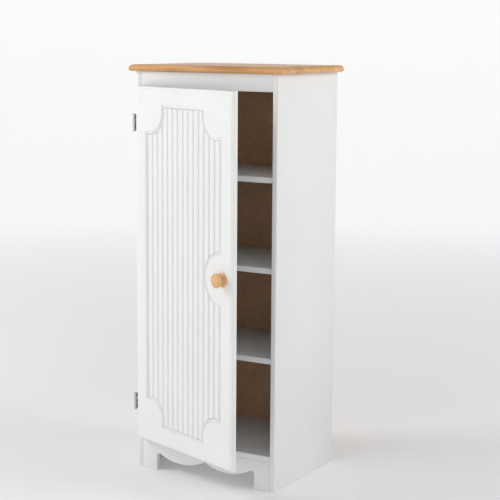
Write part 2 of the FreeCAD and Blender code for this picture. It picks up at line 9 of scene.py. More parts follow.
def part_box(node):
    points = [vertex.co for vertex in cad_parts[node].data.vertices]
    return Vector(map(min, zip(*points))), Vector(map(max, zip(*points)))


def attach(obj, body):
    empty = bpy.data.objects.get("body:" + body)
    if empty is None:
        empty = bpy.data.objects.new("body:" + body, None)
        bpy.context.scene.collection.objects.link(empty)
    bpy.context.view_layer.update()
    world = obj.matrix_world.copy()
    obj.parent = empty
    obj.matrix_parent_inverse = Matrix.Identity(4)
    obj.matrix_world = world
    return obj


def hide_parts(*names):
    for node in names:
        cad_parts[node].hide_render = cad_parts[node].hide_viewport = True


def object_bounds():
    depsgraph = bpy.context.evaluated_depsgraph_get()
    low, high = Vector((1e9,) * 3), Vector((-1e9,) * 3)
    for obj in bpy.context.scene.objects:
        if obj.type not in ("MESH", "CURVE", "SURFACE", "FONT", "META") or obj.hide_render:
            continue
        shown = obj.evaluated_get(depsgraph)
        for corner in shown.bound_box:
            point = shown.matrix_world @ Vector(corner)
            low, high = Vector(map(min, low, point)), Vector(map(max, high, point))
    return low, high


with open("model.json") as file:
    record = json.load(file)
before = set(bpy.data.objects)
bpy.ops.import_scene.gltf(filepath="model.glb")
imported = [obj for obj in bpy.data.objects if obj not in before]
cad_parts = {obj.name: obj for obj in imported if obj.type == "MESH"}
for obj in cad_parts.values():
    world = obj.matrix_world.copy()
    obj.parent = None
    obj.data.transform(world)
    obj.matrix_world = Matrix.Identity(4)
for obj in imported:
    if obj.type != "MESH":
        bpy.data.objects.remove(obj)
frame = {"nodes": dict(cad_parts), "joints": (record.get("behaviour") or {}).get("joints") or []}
CAD_BOX = [list(corner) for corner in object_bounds()]
MM = 0.001
TINY = 1e-6

# The door's joint: its axis, and how far the stored pose has the door open.
JOINT = frame["joints"][0]
PIVOT = Vector(JOINT["pos_m"])
AJAR = math.radians(-JOINT["range_deg"][0])
DOOR_TURN = Matrix.Translation(PIVOT) @ Matrix.Rotation(-AJAR, 4, "Z") @ Matrix.Translation(-PIVOT)
SHUT_TURN = DOOR_TURN.inverted()


# ------------------------------------------------------------------ materials
def new_material(name, colour, roughness, metallic=0.0):
    material = bpy.data.materials.new(name)
    material.use_nodes = True
    shader = material.node_tree.nodes["Principled BSDF"]
    shader.inputs["Base Color"].default_value = (*colour, 1)
    shader.inputs["Roughness"].default_value = roughness
    shader.inputs["Metallic"].default_value = metallic
    return material, shader


def add_node(material, kind, **inputs):
    """A node with its inputs set by name, spaces written as underscores."""
    node = material.node_tree.nodes.new(kind)
    for key, value in inputs.items():
        node.inputs[key.replace("_", " ")].default_value = value
    return node


def link(material, source, target):
    material.node_tree.links.new(source, target)


# The same scale along each axis.
EVEN = (1, 1, 1)


def grained(along, lengthwise, across):
    """A scale per axis for a pattern drawn out along one axis."""
    return tuple(lengthwise if axis == along else across for axis in "XYZ")


def stretched(material, scale):
    """Object coordinates, scaled per axis."""
    coords = add_node(material, "ShaderNodeTexCoord")
    mapping = add_node(material, "ShaderNodeMapping")
    mapping.inputs["Scale"].default_value = scale
    link(material, coords.outputs["Object"], mapping.inputs["Vector"])
    return mapping.outputs["Vector"]


def noise(material, vector, scale, detail=4.0, roughness=0.55, distortion=0.0):
    node = add_node(material, "ShaderNodeTexNoise", Scale=scale, Detail=detail, Roughness=roughness,
                    Distortion=distortion)
    link(material, vector, node.inputs["Vector"])
    return node.outputs["Fac"]


def ramp(material, factor, stops):
    """A colour ramp with stops of (position, colour)."""
    node = add_node(material, "ShaderNodeValToRGB")
    elements = node.color_ramp.elements
    while len(elements) < len(stops):
        elements.new(0.5)
    for element, (position, colour) in zip(elements, stops):
        element.position = position
        element.color = (*colour, 1)
    link(material, factor, node.inputs["Fac"])
    return node.outputs["Color"]


def remap(material, factor, low, high):
    node = add_node(material, "ShaderNodeMapRange")
    node.inputs["To Min"].default_value = low
    node.inputs["To Max"].default_value = high
    link(material, factor, node.inputs["Value"])
    return node.outputs["Result"]


# The Mix node's sockets for colours, which share their names with those for numbers and vectors.
COLOUR_A, COLOUR_B, COLOUR_RESULT = 6, 7, 2


def mixed(material, factor, first, second, blend="MIX"):
    """Mix two colours; factor is a number or a socket."""
    node = material.node_tree.nodes.new("ShaderNodeMix")
    node.data_type = "RGBA"
    node.blend_type = blend
    if isinstance(factor, float):
        node.inputs[0].default_value = factor
    else:
        link(material, factor, node.inputs[0])
    for socket, colour in ((COLOUR_A, first), (COLOUR_B, second)):
        if isinstance(colour, tuple):
            node.inputs[socket].default_value = (*colour, 1)
        else:
            link(material, colour, node.inputs[socket])
    return node.outputs[COLOUR_RESULT]


def between(material, factor, start, end, tone, shade):
    """A ramp from a shaded tone up to the tone itself."""
    darker = tuple(channel * shade for channel in tone)
    return ramp(material, factor, [(start, darker), (end, tone)])


def bumped(material, shader, height, strength, distance):
    node = add_node(material, "ShaderNodeBump", Strength=strength, Distance=distance)
    link(material, height, node.inputs["Height"])
    link(material, node.outputs["Normal"], shader.inputs["Normal"])


def white_film(name, tone, roughness, grain):
    """White film over board: a slight cloud in the tone, a fine pebble and uneven gloss."""
    material, shader = new_material(name, tone, roughness)
    vector = stretched(material, EVEN)
    cloud = noise(material, vector, scale=6.0, detail=3.0)
    link(material, between(material, cloud, 0.3, 0.7, tone, 0.965), shader.inputs["Base Color"])
    pebble = noise(material, vector, scale=grain, detail=2.0)
    gloss = remap(material, noise(material, vector, scale=40.0), low=roughness - 0.06, high=roughness + 0.08)
    link(material, gloss, shader.inputs["Roughness"])
    bumped(material, shader, pebble, strength=0.12, distance=0.0004)
    return material


def pine(name, along, light, middle, dark, stave=0.0):
    """Lacquered wood with its grain along one axis, glued up from staves where their width is given."""
    material, shader = new_material(name, middle, 0.38)
    vector = stretched(material, grained(along, 1.0, 16.0))
    if stave:
        # Each stave is shifted along the grain and toned on its own.
        split = add_node(material, "ShaderNodeSeparateXYZ")
        link(material, stretched(material, EVEN), split.inputs["Vector"])
        index = math_node(material, "FLOOR", math_node(material, "DIVIDE", split.outputs["Y"], stave))
        luck = add_node(material, "ShaderNodeTexWhiteNoise")
        luck.noise_dimensions = "1D"
        link(material, index, luck.inputs["W"])
        shift = add_node(material, "ShaderNodeVectorMath")
        shift.operation = "MULTIPLY_ADD"
        link(material, luck.outputs["Color"], shift.inputs[0])
        shift.inputs[1].default_value = (7.0, 5.0, 3.0)
        link(material, vector, shift.inputs[2])
        vector = shift.outputs["Vector"]
    broad = noise(material, vector, scale=1.6, detail=3.0, roughness=0.5, distortion=0.6)
    rings = add_node(material, "ShaderNodeTexWave", Scale=2.2, Distortion=5.0, Detail=3.0,
                     Detail_Scale=1.4, Detail_Roughness=0.55)
    rings.bands_direction = "Y" if along == "X" else "X"
    link(material, vector, rings.inputs["Vector"])
    fibre = noise(material, vector, scale=9.0, detail=6.0, roughness=0.65)
    base = ramp(material, broad, [(0.30, light), (0.52, middle), (0.78, dark)])
    ringed = mixed(material, remap(material, rings.outputs["Fac"], low=0.0, high=0.42), base, dark)
    fine = mixed(material, remap(material, fibre, low=0.0, high=0.35), ringed, light)
    if stave:
        # Narrow dark streaks, a few to the thickness of the top, so the edges show grain too.
        narrow = noise(material, stretched(material, grained(along, 1.5, 45.0)), scale=4.0, detail=3.0,
                       roughness=0.6)
        streak = ramp(material, narrow, [(0.48, (0.0, 0.0, 0.0)), (0.66, (0.62, 0.62, 0.62))])
        fine = mixed(material, streak, fine, dark)
        tone = ramp(material, luck.outputs["Value"], [(0.0, (0.88, 0.83, 0.78)), (1.0, (1.12, 1.12, 1.10))])
        fine = mixed(material, 1.0, fine, tone, "MULTIPLY")
    link(material, fine, shader.inputs["Base Color"])
    link(material, remap(material, fibre, low=0.30, high=0.50), shader.inputs["Roughness"])
    bumped(material, shader, fibre, strength=0.15, distance=0.0003)
    shader.inputs["Coat Weight"].default_value = 0.25
    shader.inputs["Coat Roughness"].default_value = 0.2
    return material


def math_node(material, operation, first, second=None):
    node = material.node_tree.nodes.new("ShaderNodeMath")
    node.operation = operation
    for socket, item in zip(node.inputs, (first, second)):
        if isinstance(item, (int, float)):
            socket.default_value = item
        elif item is not None:
            link(material, item, socket)
    return node.outputs[0]


def hardboard():
    """Brown pressed board: short fibres, a dark speckle and a dull sheen."""
    material, shader = new_material("hardboard_brown", (0.36, 0.23, 0.15), 0.62)
    fibres = noise(material, stretched(material, grained("Z", 25, 60)), scale=4.0, detail=8.0, roughness=0.7,
                   distortion=0.8)
    cloud = noise(material, stretched(material, EVEN), scale=9.0)
    brown = ramp(material, fibres, [(0.30, (0.46, 0.250, 0.140)), (0.55, (0.64, 0.38, 0.220)),
                                    (0.80, (0.78, 0.50, 0.31))])
    tone = ramp(material, cloud, [(0.30, (0.86, 0.86, 0.86)), (0.70, (1.05, 1.05, 1.05))])
    link(material, mixed(material, 1.0, brown, tone, "MULTIPLY"), shader.inputs["Base Color"])
    bumped(material, shader, fibres, strength=0.25, distance=0.0003)
    return material


def metal(name, colour, roughness, scale=220.0):
    """Plated metal with faint scuffs in its gloss and tone."""
    material, shader = new_material(name, colour, roughness, 1.0)
    scuffs = noise(material, stretched(material, EVEN), scale=scale, detail=5.0, roughness=0.6)
    link(material, between(material, scuffs, 0.35, 0.65, colour, 0.82), shader.inputs["Base Color"])
    gloss = remap(material, scuffs, low=roughness * 0.7, high=roughness * 1.5)
    link(material, gloss, shader.inputs["Roughness"])
    bumped(material, shader, scuffs, strength=0.05, distance=0.0002)
    return material


def moulded(name, colour, roughness):
    """Moulded plastic, rubber or ferrite with a fine speckle."""
    material, shader = new_material(name, colour, roughness)
    speckle = noise(material, stretched(material, EVEN), scale=300.0, detail=3.0)
    link(material, between(material, speckle, 0.35, 0.65, colour, 0.9), shader.inputs["Base Color"])
    bumped(material, shader, speckle, strength=0.1, distance=0.0002)
    return material


DOOR_WHITE = white_film("door_thermofoil", (0.84, 0.84, 0.835), 0.36, 900.0)
BOARD_WHITE = white_film("board_melamine", (0.82, 0.82, 0.815), 0.42, 1400.0)
PINE_TOP = pine("pine_staves", "X", (0.90, 0.56, 0.235), (0.78, 0.42, 0.150), (0.50, 0.20, 0.058),
                stave=62 * MM)
PINE_KNOB = pine("pine_turned", "Y", (0.86, 0.56, 0.27), (0.78, 0.45, 0.19), (0.60, 0.28, 0.10))
SOFTWOOD = pine("softwood_block", "Z", (0.72, 0.52, 0.33), (0.64, 0.44, 0.26), (0.5, 0.31, 0.17))
BEECH = pine("beech_dowel", "X", (0.70, 0.50, 0.32), (0.62, 0.42, 0.25), (0.5, 0.32, 0.18))
HARDBOARD = hardboard()
NICKEL = metal("bright_nickel", (0.58, 0.57, 0.54), 0.24)
STEEL = metal("zinc_plated_steel", (0.60, 0.60, 0.60), 0.35)
CAST_ZINC = metal("cast_zinc", (0.48, 0.48, 0.49), 0.5, 120.0)
FERRITE = moulded("ferrite_black", (0.025, 0.025, 0.027), 0.6)
PLASTIC = moulded("white_plastic", (0.78, 0.78, 0.77), 0.4)
BUMPER = moulded("soft_bumper", (0.62, 0.62, 0.60), 0.3)


# ------------------------------------------------------------------ mesh helpers
def piece(name, mesh, body, material, nodes, smooth=35):
    """Put a finished mesh in the scene as a piece that replaces CAD nodes."""
    mesh.materials.clear()
    mesh.materials.append(material)
    for polygon in mesh.polygons:
        polygon.use_smooth = True
    mesh.set_sharp_from_angle(angle=math.radians(smooth))
    obj = bpy.data.objects.new(name, mesh)
    bpy.context.scene.collection.objects.link(obj)
    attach(obj, body)
    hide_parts(*nodes)


def mesh_of(bm, name):
    bmesh.ops.recalc_face_normals(bm, faces=bm.faces)
    mesh = bpy.data.meshes.new(name)
    bm.to_mesh(mesh)
    bm.free()
    return mesh


def shut_box(node):
    """A door node's corners with the door shut."""
    points = [SHUT_TURN @ v.co for v in frame["nodes"][node].data.vertices]
    low = Vector([min(p[i] for p in points) for i in range(3)])
    high = Vector([max(p[i] for p in points) for i in range(3)])
    return low, high


def block(bm, low, high):
    """Add a box to a bmesh."""
    made = bmesh.ops.create_cube(bm, size=1.0)["verts"]
    bmesh.ops.scale(bm, vec=high - low, verts=made)
    bmesh.ops.translate(bm, vec=(low + high) / 2, verts=made)


def bevel_edges(bm, test, width, segments):
    """Round the edges whose middle and direction pass a test."""
    chosen = []
    for edge in bm.edges:
        middle = (edge.verts[0].co + edge.verts[1].co) / 2
        run = (edge.verts[1].co - edge.verts[0].co).normalized()
        if test(middle, run):
            chosen.append(edge)
    bmesh.ops.bevel(bm, geom=chosen, offset=width, segments=segments, profile=0.5, affect="EDGES",
                    clamp_overlap=True)


BOARD_ARRIS = 1.2 * MM
# The arris of boards that meet flush in front, so their joint shows as a line.
JOINT_ARRIS = 2.0 * MM


def board(node, arris=BOARD_ARRIS, cutters=None):
    """A flat board with softened arrises in place of its CAD node, with holes cut where asked."""
    low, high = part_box(node)
    bm = bmesh.new()
    block(bm, low, high)
    bevel_edges(bm, lambda middle, run: True, arris, segments=2)
    mesh = mesh_of(bm, node + "_board")
    if cutters:
        mesh = cut_by(mesh, cutters)
    piece(node + "_board", mesh, "cabinet", BOARD_WHITE, [node])


def cut_by(mesh, cutter_mesh):
    """The mesh less a cutter, by an exact boolean."""
    target = bpy.data.objects.new("target", mesh)
    cutter = bpy.data.objects.new("cutter", cutter_mesh)
    for obj in (target, cutter):
        bpy.context.scene.collection.objects.link(obj)
    modifier = target.modifiers.new("cut", "BOOLEAN")
    modifier.object = cutter
    modifier.operation = "DIFFERENCE"
    modifier.solver = "EXACT"
    graph = bpy.context.evaluated_depsgraph_get()
    result = bpy.data.meshes.new_from_object(target.evaluated_get(graph))
    for obj in (target, cutter):
        bpy.data.objects.remove(obj)
    return result


def placed(point, axis):
    """A transform that takes the Z axis to an axis through a point."""
    return Matrix.Translation(point) @ axis.to_track_quat("Z", "Y").to_matrix().to_4x4()


def round_the_axis(radius, angle, along):
    return Vector((radius * math.cos(angle), radius * math.sin(angle), along))


def cylinder(bm, radius, start, end, sides=24):
    """Add a cylinder between two points."""
    axis = end - start
    bmesh.ops.create_cone(bm, cap_ends=True, segments=sides, radius1=radius, radius2=radius,
                          depth=axis.length, matrix=placed((start + end) / 2, axis))


def lathe(bm, profile, start, axis, sides):
    """Turn a profile of (radius, distance along the axis) about an axis through a point."""
    place = placed(start, axis)
    rings = []
    for radius, along in profile:
        # A point on the axis is one vertex, not a ring.
        count = 1 if radius < TINY else sides
        angles = [2 * math.pi * i / sides for i in range(count)]
        rings.append([bm.verts.new(place @ round_the_axis(radius, angle, along)) for angle in angles])
    for first, second in zip(rings, rings[1:]):
        for i in range(sides):
            j = (i + 1) % sides
            corners = [ring[k % len(ring)] for ring, k in ((first, i), (first, j), (second, j), (second, i))]
            unique = list(dict.fromkeys(corners))
            if len(unique) > 2:
                bm.faces.new(unique)


def smooth_profile(points, steps=6):
    """A Catmull-Rom curve through (radius, distance) points."""
    result = []
    padded = [points[0]] + points + [points[-1]]
    for a, b, c, d in zip(padded, padded[1:], padded[2:], padded[3:]):
        for k in range(steps):
            t = k / steps
            result.append(tuple(0.5 * (2 * q + (r - p) * t + (2 * p - 5 * q + 4 * r - s) * t * t
                                       + (3 * q - p - 3 * r + s) * t ** 3)
                                for p, q, r, s in zip(a, b, c, d)))
    result.append(points[-1])
    return [(max(radius, 0.0), along) for radius, along in result]


# ------------------------------------------------------------------ door
DOOR_LOW, DOOR_HIGH = shut_box("door_panel")
KNOB_LOW, KNOB_HIGH = shut_box("knob")

# Everything below is in millimetres, u across the shut door from its left edge and v up from its foot.
DOOR_SIZE = (DOOR_HIGH - DOOR_LOW) / MM
KNOB_AT = ((KNOB_LOW + KNOB_HIGH) / 2 - DOOR_LOW) / MM
# The flutes: how many, how far apart, and the grid cells across each.
BEADS = 14
PITCH = 24.0
CELLS_PER_BEAD = 18
FIRST_GROOVE = (DOOR_SIZE.x - BEADS * PITCH) / 2
# The moulding's width, and the plain margin from the door's edge to the moulding.
MOULDING = 9.0
MARGIN = FIRST_GROOVE - MOULDING
# The outline: a straight shoulder and a scoop at each corner, and a round notch for the knob.
SHOULDER = 24.0
SCOOP_R = 54.0
NOTCH_R = 68.0
# The moulding's section, as (distance inside the outline, depth): the quirk's floor and the bead's top.
QUIRK_AT, QUIRK = 2.6, 4.2
BEAD_AT, BEAD_TOP = 5.6, 1.0
# Depths of a flute's crown, its extra sag by the grooves, and the grooves, and half a groove's width.
CROWN, BEAD_SAG = 2.0, 0.5
GROOVE = 7.2
GROOVE_HALF = 3 * PITCH / CELLS_PER_BEAD
# How far the flutes take to rise from the moulding.
FLUTE_END = 2.4
# The door's outer edge: a quarter round, and a step that falls just inside it.
EDGE_R = 5.5
EDGE_BAND = 7.6
EDGE_FALL = 1.4
EDGE_STEP = 1.3
EDGE_STEP_LINES = (6.2, 6.6, 7.1, EDGE_BAND)
EDGE_CUTS = 6
# The relief's rows: their pitch by the curves, the spare past a curve, and one row in so many elsewhere.
FINE_ROW = 1.25
CURVE_SPARE = 14
COARSE_ROWS = 16
# The round of the door's back edge.
BACK_ROUND = 1.0


def box_distance(x, y, low_x, low_y):
    """Distance from points to the quarter-plane x > low_x, y < low_y, zero inside it."""
    dx = np.maximum(low_x - x, 0)
    dy = np.maximum(y - low_y, 0)
    return np.hypot(dx, dy)


def field_distance(u, v):
    """Distance inside the fluted field's outline, in millimetres, negative outside it."""
    across, tall = DOOR_SIZE.x, DOOR_SIZE.z
    # One quarter stands for all four corners: x from the centre outward, y inward from the field's end.
    x = np.abs(u - across / 2)
    y = np.minimum(v, tall - v) - MARGIN
    side = across / 2 - MARGIN
    inside = np.minimum(side - x, y)
    shoulder_x = side - SHOULDER
    scoop = np.hypot(x - shoulder_x, y - SHOULDER) - SCOOP_R
    long_step = box_distance(x, y, shoulder_x - SCOOP_R, SHOULDER)
    tall_step = box_distance(x, y, shoulder_x, SHOULDER + SCOOP_R)
    removed = np.minimum(scoop, np.minimum(long_step, tall_step))
    notch = np.hypot(u - (across - MARGIN), v - KNOB_AT.z) - NOTCH_R
    return np.minimum(inside, np.minimum(removed, notch))


def share(value, start, end):
    """How far a value has come from a start to an end, from 0 to 1."""
    return np.clip((value - start) / (end - start), 0, 1)


def eased(t):
    return t * t * (3 - 2 * t)


def door_depth(u, v):
    """How far the moulded front lies behind its highest plane, in millimetres."""
    inside = field_distance(u, v)
    # The moulding: a quirk, a round bead, and a cove down to the flutes.
    quirk = QUIRK * eased(share(inside, 0, QUIRK_AT))
    bead_rise = QUIRK + (BEAD_TOP - QUIRK) * np.sqrt(share(inside, QUIRK_AT, BEAD_AT))
    cove = BEAD_TOP + (GROOVE - BEAD_TOP) * share(inside, BEAD_AT, MOULDING) ** 2
    border = np.where(inside < QUIRK_AT, quirk, np.where(inside < BEAD_AT, bead_rise, cove))
    # The flutes: gently rounded crowns between V grooves.
    from_groove = np.abs((u - FIRST_GROOVE + PITCH / 2) % PITCH - PITCH / 2)
    crown = CROWN + BEAD_SAG * (1 - 2 * from_groove / PITCH) ** 2
    flute = crown + (GROOVE - crown) * (1 - share(from_groove, 0, GROOVE_HALF))
    rise = eased(share(inside, MOULDING, MOULDING + FLUTE_END))
    field = GROOVE + (flute - GROOVE) * rise
    depth = np.where(inside > MOULDING, field, np.where(inside > 0, border, 0.0))
    # The outer edge: a small step, then a quarter round.
    edge = np.minimum(np.minimum(u, DOOR_SIZE.x - u), np.minimum(v, DOOR_SIZE.z - v))
    depth = depth + EDGE_STEP * (1 - eased(share(edge, EDGE_BAND - EDGE_FALL, EDGE_BAND)))
    turn = 1 - share(edge, 0, EDGE_R)
    return depth + (EDGE_R - EDGE_STEP) * (1 - np.sqrt(1 - turn ** 2))


def door_rows(extra):
    """Rows close together by the scoops and the notch, coarse between them, and extra ones at the ends."""
    tall = DOOR_SIZE.z
    reach = MARGIN + SHOULDER + SCOOP_R + CURVE_SPARE
    notch = NOTCH_R + CURVE_SPARE
    zones = [(0, reach), (tall - reach, tall), (KNOB_AT.z - notch, KNOB_AT.z + notch)]
    lines = {round(e, 3) for e in extra} | {round(tall - e, 3) for e in extra}
    count = int(round(tall / FINE_ROW))
    for i in range(1, count):
        place = i * tall / count
        if any(a <= place <= b for a, b in zones) or i % COARSE_ROWS == 0:
            lines.add(round(place, 3))
    return np.array(sorted(lines))


def door_columns(extra):
    """Columns on every groove's floor and shoulders, and the same step out to the edges."""
    step = PITCH / CELLS_PER_BEAD
    first = FIRST_GROOVE - step * math.floor((FIRST_GROOVE - EDGE_BAND) / step)
    lines = list(np.arange(first, DOOR_SIZE.x - EDGE_BAND, step))
    lines += list(extra) + [DOOR_SIZE.x - e for e in extra]
    return np.array(sorted(lines))


def door():
    """The moulded door: a relief front, square sides and a flat back."""
    extra = [EDGE_R * (1 - math.cos(math.pi / 2 * i / EDGE_CUTS)) for i in range(EDGE_CUTS + 1)]
    extra += EDGE_STEP_LINES
    columns = door_columns(extra)
    rows = door_rows(extra)
    u, v = np.meshgrid(columns, rows)
    front = np.stack([u, door_depth(u, v), v], -1).reshape(-1, 3)
    wide, high = len(columns), len(rows)
    index = np.arange(wide * high).reshape(high, wide)
    cells = np.stack([index[:-1, :-1], index[:-1, 1:], index[1:, 1:], index[1:, :-1]], -1)
    faces = cells.reshape(-1, 4).tolist()
    rim = [*index[0, :], *index[1:, -1], *index[-1, -2::-1], *index[-2:0:-1, 0]]
    # Rings round the sides and the back's rounded edge, as (distance in from the door's edge, depth).
    thick = DOOR_SIZE.y
    rings = ((0.0, thick - BACK_ROUND), (BACK_ROUND * 0.3, thick - BACK_ROUND * 0.3), (BACK_ROUND, thick))
    points = [front]
    previous = [int(i) for i in rim]
    for inset, depth in rings:
        ring = front[rim].copy()
        ring[:, 0] = np.clip(ring[:, 0], inset, DOOR_SIZE.x - inset)
        ring[:, 2] = np.clip(ring[:, 2], inset, DOOR_SIZE.z - inset)
        ring[:, 1] = depth
        start = sum(len(p) for p in points)
        points.append(ring)
        current = list(range(start, start + len(rim)))
        for i in range(len(rim)):
            j = (i + 1) % len(rim)
            faces.append([previous[i], current[i], current[j], previous[j]])
        previous = current
    faces.append(previous)
    points = np.concatenate(points) * MM + np.array(DOOR_LOW)
    mesh = bpy.data.meshes.new("door_moulding")
    mesh.from_pydata([tuple(p) for p in points], [], faces)
    bm = bmesh.new()
    bm.from_mesh(mesh)
    bmesh.ops.remove_doubles(bm, verts=bm.verts, dist=TINY)
    bmesh.ops.dissolve_degenerate(bm, dist=TINY / 10, edges=bm.edges)
    mesh = mesh_of(bm, "door_moulding")
    mesh.transform(DOOR_TURN)
    piece("door_moulding", mesh, "door", DOOR_WHITE, ["door_panel"], smooth=50)


# The knob's outline, as shares of its greatest radius and of its height from the door.
KNOB_OUTLINE = [(0.97, 0.0), (0.97, 0.07), (0.9021, 0.13), (0.7372, 0.17), (0.62, 0.27), (0.60, 0.42),
                (0.78, 0.54), (0.97, 0.64), (1.0, 0.73), (0.95, 0.83), (0.78, 0.92), (0.48, 0.975), (0.0, 1.0)]


def knob():
    """Turned knob: a flared base with a bead, a waist and a domed head."""
    out = KNOB_HIGH.y - KNOB_LOW.y
    head = (KNOB_HIGH.z - KNOB_LOW.z) / 2
    outline = [(head * radius, out * along) for radius, along in KNOB_OUTLINE]
    bm = bmesh.new()
    start = Vector(((KNOB_LOW.x + KNOB_HIGH.x) / 2, KNOB_HIGH.y, (KNOB_LOW.z + KNOB_HIGH.z) / 2))
    lathe(bm, [(0.0, 0.0)] + smooth_profile(outline), start, Vector((0, -1, 0)), sides=64)
    mesh = mesh_of(bm, "turned_knob")
    mesh.transform(DOOR_TURN)
    piece("turned_knob", mesh, "door", PINE_KNOB, ["knob"], smooth=60)


# ------------------------------------------------------------------ carcase
PIN_R = 2.5 * MM
HOLE_STEP = 32 * MM
HOLE_DEEP = 9 * MM


def pin_hole_cutter(side):
    """Cylinders for the spare and used shelf-pin holes of one side panel."""
    bm = bmesh.new()
    low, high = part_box("side_panel_" + side)
    face, sign = (high.x, -1) if side == "left" else (low.x, 1)
    for name in ("lower", "middle", "upper"):
        pin_low, pin_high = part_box("shelf_pins_" + name)
        middle = (pin_low.z + pin_high.z) / 2
        for y in (pin_low.y + PIN_R, pin_high.y - PIN_R):
            for step in (-1, 0, 1):
                z = middle + step * HOLE_STEP
                cylinder(bm, PIN_R, Vector((face - sign * MM, y, z)), Vector((face + sign * HOLE_DEEP, y, z)))
    return mesh_of(bm, "pin_holes_" + side)


# The apron's cut: the feet start at FOOT_X, the cut rises to RISE with a round corner, and each half
# has a lobe of LOBE_R about LOBE_X that comes down to LOBE_LOW.
FOOT_X = 170 * MM
RISE = 52 * MM
CORNER_R = 7 * MM
CORNER_STEPS = 6
LOBE_R = 158 * MM
LOBE_X = 78 * MM
LOBE_LOW = 31 * MM
LOBE_STEPS = 28


def apron():
    """The scalloped board: two feet, with a lobe beside each and a cusp in the middle."""
    low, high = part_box("apron")
    lobe_z = LOBE_LOW + LOBE_R
    end_x = LOBE_X + math.sqrt(LOBE_R ** 2 - (lobe_z - RISE) ** 2)
    half = [(high.x, high.z), (high.x, low.z), (FOOT_X, low.z), (FOOT_X, RISE - CORNER_R)]
    corner_x, corner_z = FOOT_X - CORNER_R, RISE - CORNER_R
    for i in range(1, CORNER_STEPS + 1):
        angle = math.pi / 2 * i / CORNER_STEPS
        half.append((corner_x + CORNER_R * math.cos(angle), corner_z + CORNER_R * math.sin(angle)))
    for i in range(LOBE_STEPS + 1):
        x = end_x * (1 - i / LOBE_STEPS)
        half.append((x, lobe_z - math.sqrt(LOBE_R ** 2 - (x - LOBE_X) ** 2)))
    outline = half + [(-x, z) for x, z in reversed(half[:-1])]
    bm = bmesh.new()
    face = bm.faces.new([bm.verts.new((x, low.y, z)) for x, z in outline])
    pushed = bmesh.ops.extrude_face_region(bm, geom=[face])["geom"]
    pushed = [v for v in pushed if isinstance(v, bmesh.types.BMVert)]
    bmesh.ops.translate(bm, vec=(0, high.y - low.y, 0), verts=pushed)
    bmesh.ops.recalc_face_normals(bm, faces=bm.faces)
    bevel_edges(bm, lambda middle, run: abs(run.y) < 0.5, JOINT_ARRIS, segments=2)
    piece("scalloped_apron", mesh_of(bm, "scalloped_apron"), "cabinet", BOARD_WHITE, ["apron"])


UPPER_ROUND = 12 * MM
LOWER_ROUND = 6.5 * MM


def top_slab():
    """Pine top: a large round-over along the upper front and side edges, a smaller one beneath."""
    low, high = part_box("top_slab")
    mid_z = (low.z + high.z) / 2

    def upper(middle, run):
        return middle.z > mid_z and abs(run.z) < 0.5 and middle.y < high.y - MM

    def lower(middle, run):
        return middle.z < low.z + 0.1 * MM and middle.y < high.y - MM

    bm = bmesh.new()
    block(bm, low, high)
    bevel_edges(bm, upper, UPPER_ROUND, segments=10)
    bevel_edges(bm, lower, LOWER_ROUND, segments=6)
    piece("pine_top", mesh_of(bm, "pine_top"), "cabinet", PINE_TOP, ["top_slab"], smooth=40)


def carcase():
    for side in ("left", "right"):
        board("side_panel_" + side, arris=JOINT_ARRIS, cutters=pin_hole_cutter(side))
    board("top_rail", arris=JOINT_ARRIS)
    for node in ("bottom_panel", "front_stretcher", "rear_stretcher", "shelf_lower", "shelf_middle",
                 "shelf_upper"):
        board(node)
    apron()
    top_slab()


# ------------------------------------------------------------------ small hardware
CAP_TALL = 2.5 * MM
SHAFT_R = 1.6 * MM
# A cap's outline, as shares of its radius and of its height.
CAP_OUTLINE = [(0.0, 0.0), (0.55, 0.12), (0.92, 0.45), (1.0, 0.75), (0.96, 1.0)]


def hinge_pins():
    """Hinge pins with a neck and a ball-shaped cap at each end."""
    for which in ("upper", "lower"):
        node = "hinge_%s_pin" % which
        low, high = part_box(node)
        radius = (high.x - low.x) / 2
        length = high.z - low.z
        end = [(radius * r, CAP_TALL * z) for r, z in CAP_OUTLINE]
        shaft = [(SHAFT_R, CAP_TALL), (SHAFT_R, length - CAP_TALL)]
        outline = end + shaft + [(r, length - z) for r, z in reversed(end)]
        bm = bmesh.new()
        foot = Vector(((low.x + high.x) / 2, (low.y + high.y) / 2, low.z))
        lathe(bm, outline, foot, Vector((0, 0, 1)), sides=32)
        piece("hinge_%s_capped_pin" % which, mesh_of(bm, node), "cabinet", NICKEL, [node],
              smooth=50)


def solids_of(node, shut=False):
    """The box of each separate solid in a CAD node, seen with the door shut where asked."""
    bm = bmesh.new()
    bm.from_mesh(frame["nodes"][node].data)
    if shut:
        bm.transform(SHUT_TURN)
    left = set(bm.verts)
    boxes = []
    while left:
        front = [left.pop()]
        found = list(front)
        while front:
            for edge in front.pop().link_edges:
                for vert in edge.verts:
                    if vert in left:
                        left.remove(vert)
                        found.append(vert)
                        front.append(vert)
        low = Vector([min(v.co[i] for v in found) for i in range(3)])
        high = Vector([max(v.co[i] for v in found) for i in range(3)])
        boxes.append((low, high))
    bm.free()
    return sorted(boxes, key=lambda pair: tuple(round(c, 4) for c in pair[0]))


def ends_along(low, high, axis):
    """The middle of a solid's two ends along an axis, tail first and then head."""
    middle = (low + high) / 2
    reach = abs((high - low).dot(axis)) / 2
    return middle - axis * reach, middle + axis * reach


SCREW_SIDES = 24
# Shares of a screw's sizes: the thread's root, its pitch, the recess's radius and its depth.
ROOT = 0.72
THREAD_PITCH = 0.9
RECESS = 0.55
RECESS_DEEP = 0.7
# The tip, as shares of the shank's radius and of the screw's length, and the shares of that length at
# which the thread starts and which it leaves plain.
TIP_R, TIP_TALL = 0.4, 0.06
THREAD_FROM, THREAD_SPARE = 0.08, 0.1
# A pan head, as shares of its radius and of its height.
PAN_HEAD = [(1.0, 0.0), (1.0, 0.35), (0.92, 0.7), (0.74, 1.0)]
